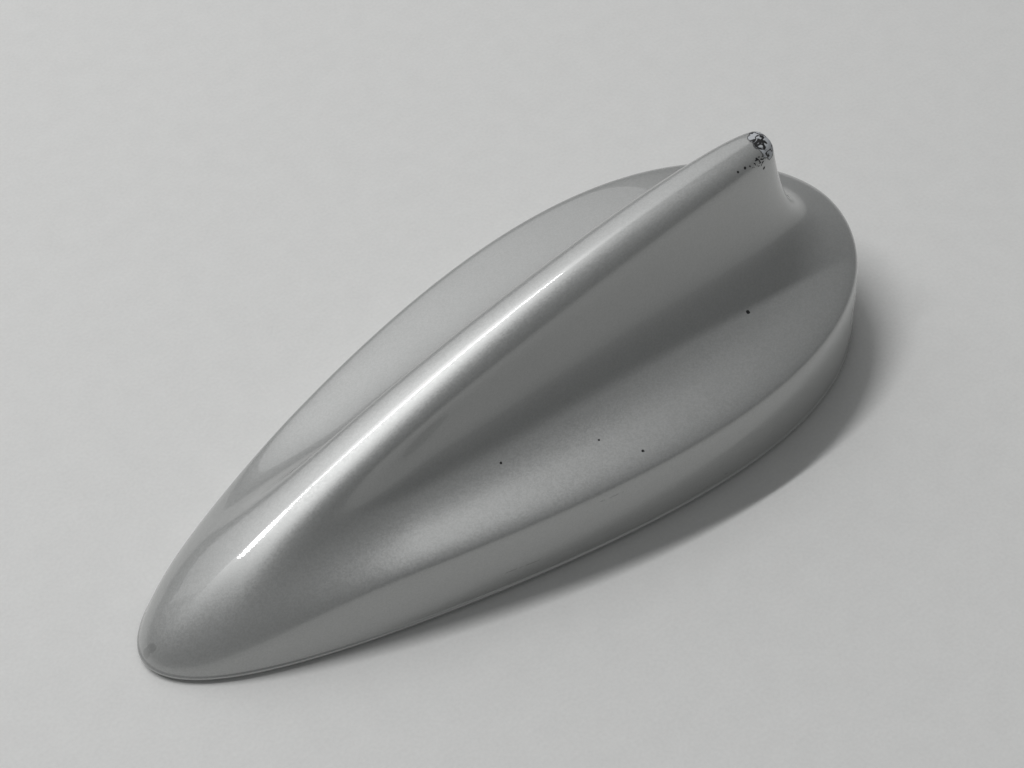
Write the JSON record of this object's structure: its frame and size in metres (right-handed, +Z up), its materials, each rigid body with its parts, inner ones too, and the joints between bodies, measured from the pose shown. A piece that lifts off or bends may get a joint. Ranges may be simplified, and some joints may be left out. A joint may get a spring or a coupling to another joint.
{
  "type": "car roof antenna",
  "caption": "Fin-shaped car roof antenna with a painted teardrop cover over a cast base that carries seals, circuit boards, aerials and lead sockets.",
  "frame": {"origin": "on the roof plane under the gasket, at the middle of the antenna's length and width", "axes": "+X from the nose to the tail, +Y to the car's right when the nose points forwards, +Z up from the roof"},
  "size_m": [0.16, 0.065, 0.0454],
  "materials": {
    "silver_paint": "silver metallic lacquer under clear coat, chipped at the tip",
    "cast_metal": "as cast, bead blasted",
    "seal_rubber": "matt moulded rubber",
    "steel": "zinc plated",
    "brass": "turned",
    "copper": "bare copper foil",
    "circuit_board": "green solder mask over glass laminate",
    "black_plastic": "moulded, matt",
    "ceramic": "fired dielectric ceramic",
    "silvered": "printed silver",
    "white_plastic": "white dielectric plastic",
    "foam": "open-cell foam"
  },
  "bodies": {
    "root": {"cover": "silver_paint", "base_plate": "cast_metal", "rim_gasket": "seal_rubber", "inner_seal": "seal_rubber", "centre_seal": "seal_rubber", "mount_inserts": "brass", "cover_screws": "steel", "board_screws": "steel", "main_board": "circuit_board", "patch_pad": "foam", "patch_ceramic": "ceramic", "patch_electrode": "silvered", "patch_pin": "brass", "shield_frame": "steel", "shield_lid": "steel", "board_chips": "black_plastic", "fin_board": "circuit_board", "fin_radiators": "copper", "fin_holder": "black_plastic", "feed_clip": "brass", "fin_pad": "foam", "ground_springs": "steel", "coax_housing": "black_plastic", "coax_sleeves": "brass", "coax_insulators": "white_plastic", "coax_pins": "brass"}
  },
  "joints": []
}
